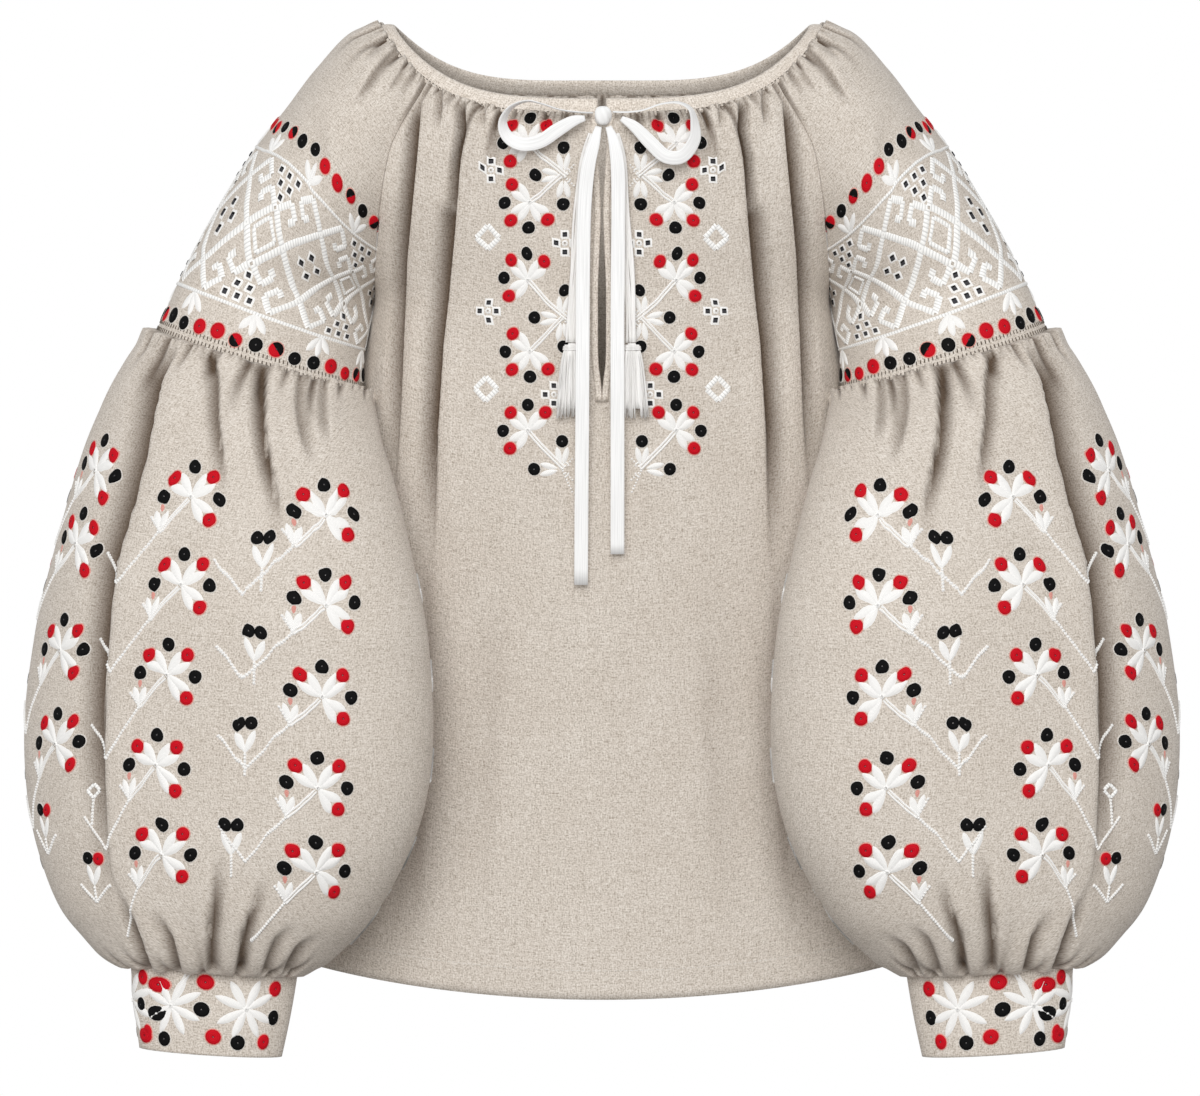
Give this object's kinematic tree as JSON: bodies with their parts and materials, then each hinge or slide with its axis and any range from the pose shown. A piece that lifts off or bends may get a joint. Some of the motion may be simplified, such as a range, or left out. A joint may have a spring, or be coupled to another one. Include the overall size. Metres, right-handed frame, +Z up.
{
  "type": "vyshyvanka shirt",
  "caption": "Worn-form linen blouse with gathered neck, front slit with ribbon bow and tassels, embroidered shoulder insets, balloon sleeves and straight cuffs.",
  "frame": {"origin": "midway between the two shoulder points at the top edge of the neckband, where the wearer's shoulders hold the blouse", "axes": "+X to the viewer's right as the front is seen, -Y to the front, +Z up"},
  "size_m": [0.7528, 0.3029, 0.6651],
  "materials": {
    "linen": "unbleached plain-weave linen, matt",
    "ribbon": "white satin ribbon, soft sheen",
    "yarn": "white cotton yarn, matt"
  },
  "bodies": {
    "root": {"front_panel": "linen", "back_panel": "linen", "sleeve_top_r": "linen", "sleeve_top_l": "linen", "balloon_r": "linen", "balloon_l": "linen", "cuff_r": "linen", "cuff_l": "linen", "neckband": "linen", "slit_binding_r": "linen", "slit_binding_l": "linen", "bow_knot": "ribbon", "bow_loop_r": "ribbon", "bow_loop_l": "ribbon", "ribbon_tail_r": "ribbon", "ribbon_tail_l": "ribbon", "tassel_cord_r": "yarn", "tassel_cord_l": "yarn", "tassel_r": "yarn", "tassel_l": "yarn"}
  },
  "joints": []
}
